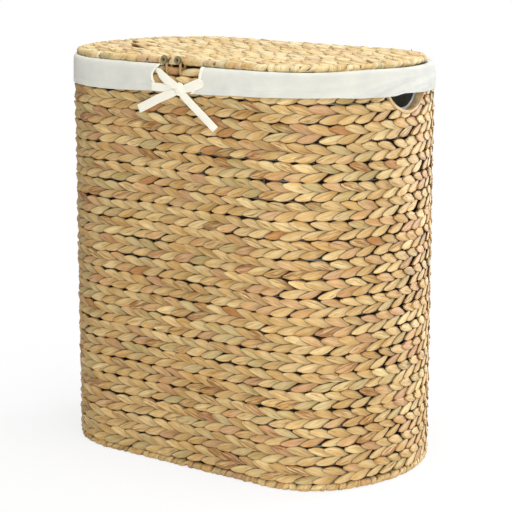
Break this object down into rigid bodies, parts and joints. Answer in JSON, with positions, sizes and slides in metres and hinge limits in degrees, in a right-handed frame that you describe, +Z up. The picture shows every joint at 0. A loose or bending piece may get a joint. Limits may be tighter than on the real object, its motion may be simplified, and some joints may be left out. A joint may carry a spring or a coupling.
{
  "type": "lidded laundry hamper",
  "caption": "Lidded oval laundry hamper of plaited water hyacinth on a wire frame, with a hinged woven lid, hand holes at both ends and a cotton liner whose split cuff ties in a bow.",
  "frame": {"origin": "centre of the oval base at floor level", "axes": "+X along the hamper's length, +Z up, and the hinge side with the bow faces -Y"},
  "size_m": [0.5628, 0.3408, 0.6037],
  "materials": {
    "coated_wire": "satin brown coated steel wire",
    "hyacinth_plait": "dry matt plaited leaf",
    "hyacinth_wrap": "dry matt wound leaf",
    "hyacinth_stalk": "dry stalk with a slight sheen",
    "cotton_cloth": "plain woven cotton",
    "cotton_tape": "folded cotton tape"
  },
  "bodies": {
    "basket": {"top_rim_wire": "coated_wire", "base_rim_wire": "coated_wire", "upright_wires": "coated_wire", "base_cross_wires": "coated_wire", "plait_course_01": "hyacinth_plait", "plait_course_02": "hyacinth_plait", "plait_course_03": "hyacinth_plait", "plait_course_04": "hyacinth_plait", "plait_course_05": "hyacinth_plait", "plait_course_06": "hyacinth_plait", "plait_course_07": "hyacinth_plait", "plait_course_08": "hyacinth_plait", "plait_course_09": "hyacinth_plait", "plait_course_10": "hyacinth_plait", "plait_course_11": "hyacinth_plait", "plait_course_12": "hyacinth_plait", "plait_course_13": "hyacinth_plait", "plait_course_14": "hyacinth_plait", "plait_course_15": "hyacinth_plait", "plait_course_16": "hyacinth_plait", "plait_course_17": "hyacinth_plait", "plait_course_18": "hyacinth_plait", "plait_course_19": "hyacinth_plait", "plait_course_20": "hyacinth_plait", "plait_course_21": "hyacinth_plait", "base_panel": "hyacinth_plait", "base_rim_wrap": "hyacinth_wrap", "top_rim_wrap": "hyacinth_wrap", "left_handle_binding": "hyacinth_wrap", "right_handle_binding": "hyacinth_wrap", "liner_wall": "cotton_cloth", "liner_bottom": "cotton_cloth", "liner_cuff": "cotton_cloth", "cuff_binding_left": "cotton_tape", "cuff_binding_right": "cotton_tape", "tie_left": "cotton_tape", "tie_right": "cotton_tape", "bow_loop": "cotton_tape", "bow_tail_left": "cotton_tape", "bow_tail_right": "cotton_tape", "bow_knot": "cotton_tape"},
    "lid": {"lid_rim_wire": "coated_wire", "lid_cross_wires": "coated_wire", "lid_panel": "hyacinth_plait", "lid_rim_wrap": "hyacinth_wrap", "hinge_loop_left": "hyacinth_stalk", "hinge_loop_right": "hyacinth_stalk"}
  },
  "joints": [
    {"name": "lid_hinge", "type": "hinge", "parent": "basket", "child": "lid", "pos_m": [-0.01, -0.1615, 0.5826], "axis": [1, 0, 0], "range_deg": [0, 100], "deforming": ["bow_loop"]}
  ]
}
